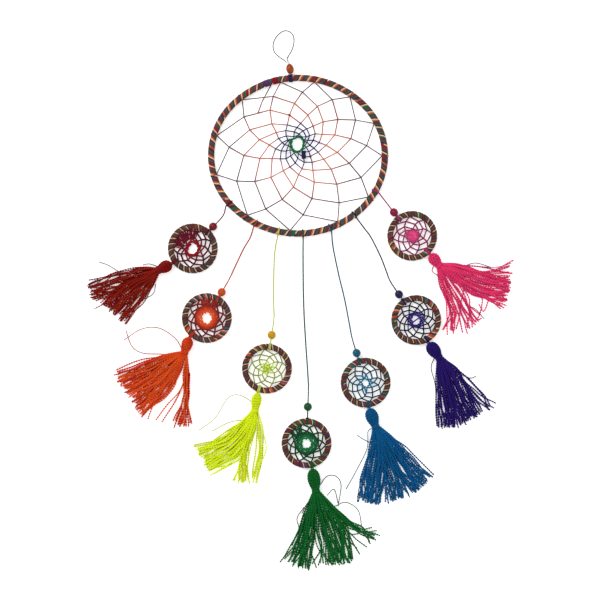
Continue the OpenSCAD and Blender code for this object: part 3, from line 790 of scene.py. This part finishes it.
# How far a round lies inside the last one where the web is tight and where it is wide, and the part of its radius by
# which a round's own slack already brings it in; a knot's size.
TIGHT_DROP, WIDE_DROP, HANG = 0.9, 3.6, 0.045
KNOT_SIZE = 0.85
TIE_ANGLES = [-37, 0, 28, 55, 79.5, 101, 128, 163, 196, 236, 265, 296]
WEB_MIDDLE = np.array([-2.5, 172.5])
WEB_DRAW = [0.155, 0.185, 0.24, 0.26, 0.19, 0.2, 0.24, 0.2, 0.08, 0.03, 0.01, 0.0]
rng = np.random.default_rng(7)
lines, knots = web_lines([rim_at(a, 0.6 - RIM_Z) for a in TIE_ANGLES], WEB_MIDDLE, WEB_DRAW, RIM_Z, 0.68, rng, 0.6, 5)
extras = [
    grow("first_thread", [([lift(p, RIM_Z) for p in ((-28.6, 232), (-37.5, 215.5), (-42, 203.6))], 0.68, 0.5)], YARN,
        **NET_THREAD, Material=MATERIALS["main_web"]),
    grow("thread_ends", [], KNOTS, points=[min(knots, key=lambda k: np.linalg.norm(k[:2] - p))
        for p in ((-12, 203), (13, 158))], Size=1.7 * MM, Seed=5, Material=MATERIALS["knot"]),
    grow("web_lashing", [[lift((3.6, 166.0), RIM_Z), lift((3.8, 158.0), RIM_Z)]], WINDING, Turns=8, Steps=16,
        Strands=1, Coil_Radius=1.7 * MM, Thread_Radius=0.55 * MM, Unevenness=0.5 * MM, Sides=8,
        Material=MATERIALS["lashing"]),
]
make_web("main_web_threads", lines, knots, MATERIALS["main_web"], "base", "main_web", 3, extras)
wraps = [lashing(f"web_tie_{i}", rim_at(a) - FLAT_R * aim(a), FLAT_R, RIM_Z, a, 0.9, 1, RIM_Z + 0.12, 0.34,
    MATERIALS["main_web"]) for i, a in enumerate(TIE_ANGLES)]
finish_piece(join("main_web_ties", wraps), "base")

for number, (tint, look) in enumerate(LOOKS.items()):
    pendant = PENDANTS[tint]
    middle = np.array(pendant["at"], float)
    rng = np.random.default_rng(20 + number)
    step = 360 / look["ties"]
    ties = [ring_at(pendant, pendant["run"] + 15 + i * step, RING_IN + 0.7) for i in range(look["ties"])]
    draws, reach = [], RING_IN
    while reach > look["hole"]:
        drop = TIGHT_DROP if reach < look["dense"] else WIDE_DROP
        draws.append(max(drop / reach - HANG, 0.02))
        reach -= drop
    lines, knots = web_lines(ties, middle, draws, RING_Z, look["net"], rng, 0.5, 3)
    darning = []
    if look["split"] is not None:
        across = [lift(ring_at(pendant, look["split"] + a, look["hole"]), RING_Z + 0.3) for a in (180, 0)]
        darning = [grow("split", [(smooth([across[0], lift(middle + 0.6, RING_Z), across[1]], 1.5), 0.8, 0.9)], YARN,
            **NET_THREAD, Material=MATERIALS[tint + "_web"])]
    if look["darned"]:
        toward, half = look["darned"]
        zigzag = []
        for i, a in enumerate(np.arange(toward - half, toward + half, 3.6)):
            a += rng.uniform(-1.5, 1.5)
            ends = [ring_at(pendant, a, RING_IN + 0.4), ring_at(pendant, a + 6 + rng.uniform(-6, 6),
                look["dense"] - 2)]
            zigzag += [lift(e, RING_Z + rng.uniform(-0.6, 0.6)) for e in (ends if i % 2 else ends[::-1])]
        darning = [grow("darning", [(smooth(zigzag, 1.5), 0.7, 0.45)], YARN, **NET_THREAD,
            Material=MATERIALS[tint + "_web"])]
    make_web(tint + "_web_threads", lines, knots, MATERIALS[tint + "_web"], tint + " small hoop",
        tint + "_web", number, darning)


# ---------------------------------------------------------------- beads
def make_shell(name, rings, way, sides, round_again, material):
    """A skin over rings, each (middle, radius). way is the level direction of their first corners. The last ring
    joins the first if round_again, or both ends close."""
    side, count, verts = lift(aim(way), 0), len(rings), []
    for middle, radius in rings:
        for a in np.arange(sides) * math.tau / sides:
            verts.append(tuple((middle + radius * (math.cos(a) * side + math.sin(a) * UP)) * MM))
    faces = []
    for i in range(count if round_again else count - 1):
        step = (i + 1) % count * sides - i * sides
        for k in range(sides):
            a, b = i * sides + k, i * sides + (k + 1) % sides
            faces.append((a, b, b + step, a + step))
    if not round_again:
        faces += [tuple(range(sides))[::-1], tuple(range(len(verts) - sides, len(verts)))]
    mesh = bpy.data.meshes.new(name)
    mesh.from_pydata(verts, [], faces)
    mesh.materials.append(material)
    mesh.shade_smooth()
    return put(name, mesh)


TURNED = math.radians(74)  # half the angle of a bead's curve from mouth to mouth


def make_bead(name, middle, lean, length, diameter, bore, material, body, node):
    """A turned bead with eased mouths, its bore along lean."""
    half, wide, hole = length / 2, diameter / 2, bore / 2
    shape = []
    for t in np.linspace(-1, 1, 25):
        a = t * TURNED
        shape.append((half * math.sin(a) / math.sin(TURNED) * 0.985, max(wide * math.cos(a) ** 0.9, hole + 0.25)))
    shape += [(half * 0.93, hole), (0, hole), (-half * 0.93, hole)]
    rings = [(middle + x * lift(aim(lean), 0), r) for x, r in shape]
    return finish_piece(make_shell(name, rings, lean + 90, 40, True, material), body, [node])


for tint, pendant in PENDANTS.items():
    make_bead(tint + "_wooden_bead", lift(ring_at(pendant, pendant["run"], pendant["bead"]), BEAD_Z), pendant["run"],
        BEAD_D * 0.96, BEAD_D, BORE_D, MATERIALS[tint + "_bead"], tint + " bead", tint + "_bead")
make_bead("loop_wooden_bead", lift(loop_middle(), LOOP_BEAD_D / 2), LOOP_LEAN, LOOP_BEAD_L, LOOP_BEAD_D, BORE_D,
    MATERIALS["loop_bead"], "hanging loop", "loop_bead")


# ---------------------------------------------------------------- tassels
# The space that a strand takes in its lock and on the head, in yarn radii; the way from the neck over which ripples
# grow, and their size; the loops' reach out of and above the small rim's side.
STRAND_GAP, HEAD_GAP = 1.9, 1.7
FLARE, RIPPLE = 25, 0.4
LOOP_OUT, LOOP_UP = 5.6, 3.75
ROUND_HEAD = ((0.0, 0.3), (0.06, 0.56), (0.14, 0.77), (0.24, 0.92), (0.36, 0.99), (0.48, 1.0), (0.62, 0.94),
    (0.78, 0.8))


def head_at(pendant, share):
    """The head's middle and radius at a share of its length."""
    a, length, width = pendant["head"]
    shares, widths = zip(*ROUND_HEAD, (1.0, NECK_D / width))
    radius = np.interp(share, shares, widths) * width / 2
    rest = max(width / 2, RING_Z)
    z = rest + max(0.0, share - 0.5) * 2 * (NECK_Z - rest)
    nose = ring_at(pendant, pendant["tie"], RING_D / 2 + 1.0)
    return lift(nose + share * length * aim(a), z), radius


def lock_path(pendant, lock):
    """The middles, directions, widths and thicknesses of a lock, from the neck to its end."""
    neck = head_at(pendant, 1.0)[0]
    middles = [neck] + [lift(s[:2], t / 2) for s, t in zip(lock, LOCK_T)]
    ways = [lift(aim(pendant["head"][0]), 0)] + [unit(lift((middles[min(j + 1, len(lock))] - middles[j - 1])[:2], 0))
        for j in range(1, len(middles))]
    return middles, ways, [NECK_D] + [s[2] for s in lock], [NECK_D] + list(LOCK_T)


def skirt_points(pendant, lock, u, v, r, wild, rng):
    """A strand's way down its lock: u is its place across the lock and v its place in the lock's thickness."""
    middles, ways, widths, thick = lock_path(pendant, lock)
    reach, stray, points = rng.uniform(0.82, 1.04), rng.normal(0, wild, 4) * (1, 1, 1.4, 2.2), []
    for j in range(1, len(middles)):
        across = np.array([-ways[j][1], ways[j][0], 0])
        middle = middles[j] if j < len(middles) - 1 else middles[j - 1] + reach * (middles[j] - middles[j - 1])
        room = max(thick[j] - 2 * r, 0.1) * math.sqrt(max(1 - u * u, 0.1))
        point = middle + (u * (widths[j] / 2 - r) + 0.5 * j * stray[j]) * across
        points.append(lift(point[:2], r + v * room))
    return points


def head_points(pendant, phi, spin, r, proud):
    """A strand's way over the head, from the nose to just before the neck."""
    side, points = lift(aim(pendant["head"][0] + 90), 0), []
    for share in (0.0, 0.06, 0.14, 0.24, 0.36, 0.5, 0.64, 0.78, 0.9):
        middle, radius = head_at(pendant, share)
        turned = phi + spin * (1 - share)
        points.append(middle + max(radius - r + proud, 0.5) * (math.cos(turned) * side + math.sin(turned) * UP))
    return points


def make_tassel(name, pendant, look, seed):
    rng, r = np.random.default_rng(seed), look["yarn_r"]
    side = lift(aim(pendant["head"][0] + 90), 0)
    neck = head_at(pendant, 1.0)[0]
    strands = []
    for lock in pendant["locks"]:
        count = int(math.ceil(lock[-1][2] / (STRAND_GAP * r)))
        for layer in (0.0, 0.5, 1.0) if lock[-1][2] > 15 else (0.2, 0.8):
            for i in range(count):
                u = 2 * (i + rng.uniform(0.1, 0.9)) / count - 1
                v = float(np.clip(layer + rng.uniform(-0.25, 0.25), 0, 1))
                strands.append((v, skirt_points(pendant, lock, u, v, r, look["wild"], rng)))
    lines = []
    for upper in (True, False):
        row = sorted((s for s in strands if (s[0] >= 0.4) == upper),
            key=lambda s: -math.atan2((s[1][1] - neck) @ side, np.linalg.norm(s[1][1] - neck)))
        shown = max(1, int(round(math.pi * pendant["head"][2] / 2 / (HEAD_GAP * r))))
        over_head = {int(round(x)): k for k, x in enumerate(np.linspace(0, len(row) - 1, shown))}
        for n, (v, skirt) in enumerate(row):
            share = (n + 0.5) / len(row)
            phi = math.pi * share * (1 if upper else -1)
            points, deep = [], rng.uniform(0.2, 0.8)
            if n in over_head:
                k, deep = over_head[n], 1.0
                phi = math.pi * (k + 0.5) / shown * (1 if upper else -1)
                spin = look["spin"] * (-1 if look["crossed"] and k % 2 else 1)
                points = head_points(pendant, phi, spin, r, 0.2 * (k % 2))
            points.append(neck + deep * (NECK_D / 2 - r) * (math.cos(phi) * side + math.sin(phi) * UP))
            line = smooth(points + skirt, 2.0)
            fade = np.clip(np.linalg.norm(line - neck, axis=1) / FLARE, 0, 1) * (np.arange(len(line)) > len(points))
            ripple = np.sin(np.linspace(0, rng.uniform(12, 22), len(line)) + rng.uniform(0, 6))
            line = line + (fade * ripple * RIPPLE)[:, None] * side
            widths = np.full(len(line), r * rng.uniform(0.92, 1.08))
            if n in over_head:
                widths *= np.clip(0.45 + np.linalg.norm(line - line[0], axis=1) / 8, 0.45, 1)
            # painted shade: strands lower in the lock get a lower tone and so a darker colour; the rest of their tone
            # is random
            lines.append((line, widths, float(np.clip(0.1 + 0.55 * v + rng.uniform(0, 0.4), 0, 1))))
    for route in LOOSE_YARN[name]:
        line = smooth([lift(p, r + rng.uniform(0, 3.0)) for p in route], 2.0)
        lines.append((line, r * 0.95, rng.uniform(0, 1)))
    yarn = grow(name + "_strands", lines, YARN, Spacing=0.75 * MM, Twist_Length=5.2 * MM,
        Flatness=0.5, Sides=6, Material=MATERIALS[name + "_yarn"])
    loose = [(smooth([lift(p, 0.7 + rng.uniform(0, 2.5)) for p in stray], 2.0), 0.55, rng.uniform(0.2, 0.8))
        for stray in STRAYS[name]]
    loose = grow(name + "_loose", loose, YARN, Spacing=0.7 * MM, Twist_Length=4 * MM, Flatness=0.75, Sides=6,
        Material=MATERIALS[name + "_cord"])
    core = make_core(name + "_core", pendant, MATERIALS[name + "_yarn"])
    return finish_piece(join(name + "_tassel_strands", [yarn, loose, core]), name + " tassel",
        [name + "_tassel_yarn"])


def make_core(name, pendant, material):
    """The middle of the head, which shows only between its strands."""
    rings = []
    for share in np.linspace(0.03, 1.0, 12):
        middle, radius = head_at(pendant, share)
        rings.append((middle, max(radius - 1.1, 0.4)))
    return make_shell(name, rings, pendant["head"][0] + 90, 20, False, material)


def make_binding(name, pendant, material):
    """The thread round the tassel's neck, and the loops that hold its nose to the small rim."""
    a = pendant["head"][0]
    neck = head_at(pendant, 1.0)[0]
    way = lift(aim(a), 0)
    wound = grow("binding", [[neck + t * way for t in (-1.3, 0.0, 1.3)]], WINDING, Turns=4, Steps=20, Strands=1,
        Coil_Radius=(NECK_D / 2 + 0.25) * MM, Thread_Radius=0.4 * MM, Unevenness=0.15 * MM, Sides=8,
        Material=material)
    out = lift(aim(pendant["tie"]), 0)
    across = lift(aim(pendant["tie"] + 90), 0)
    middle = lift(ring_at(pendant, pendant["tie"], RING_R + 1.8), RING_Z)
    loops = [([middle + LOOP_OUT * math.cos(t) * out + max(LOOP_UP * math.sin(t), 0.5 - RING_Z) * UP
        + (s + 0.2 * math.sin(3 * t)) * across for t in np.linspace(0, math.tau, 28, endpoint=False)], 0.5, 0.5)
        for s in (-0.8, 0.8)]
    held = grow("loops", loops, YARN, closed=True, Spacing=0.5 * MM, Twist_Length=3 * MM, Flatness=0.75, Sides=6,
        Material=material)
    return finish_piece(join(name + "_binding_threads", [wound, held]), name + " tassel",
        [name + "_tassel_binding"])


for number, (tint, pendant) in enumerate(PENDANTS.items()):
    make_tassel(tint, pendant, LOOKS[tint], 50 + number)
    make_binding(tint, pendant, MATERIALS[tint + "_yarn"])


# ---------------------------------------------------------------- floor and light
def make_stage():
    white, pale = (1, 1, 1, 1), (0.97, 0.97, 0.97, 1)
    material = new_material("floor", {"Base Color": pale, "Emission Color": white, "Emission Strength": 0.42,
        "Roughness": 0.9})[0]
    mesh = bpy.data.meshes.new("floor")
    far = 3.0
    mesh.from_pydata([(-far, -far, 0), (far, -far, 0), (far, far, 0), (-far, far, 0)], [], [(0, 1, 2, 3)])
    mesh.materials.append(material)
    put("floor", mesh)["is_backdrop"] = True
    world = bpy.data.worlds.new("studio")
    world.use_nodes = True
    sky = world.node_tree.nodes["Background"]
    sky.inputs["Color"].default_value, sky.inputs["Strength"].default_value = white, 0.62
    bpy.context.scene.world = world
    bpy.context.scene.view_settings.view_transform = "Standard"
    for name, place, size, power in (("key", (-0.8, 0.9, 1.5), 0.9, 18.0), ("fill", (1.1, -0.5, 1.3), 1.6, 6.0)):
        data = bpy.data.lights.new(name, "AREA")
        data.size, data.energy = size, power
        light = put(name, data)
        light.location = place
        toward = unit(-np.array(place))
        light.rotation_euler = (math.acos(-toward[2]), 0, math.atan2(toward[1], toward[0]) - math.pi / 2)
        light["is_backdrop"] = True


make_stage()
{"loaded": size_loaded, "finished": plain(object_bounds())}
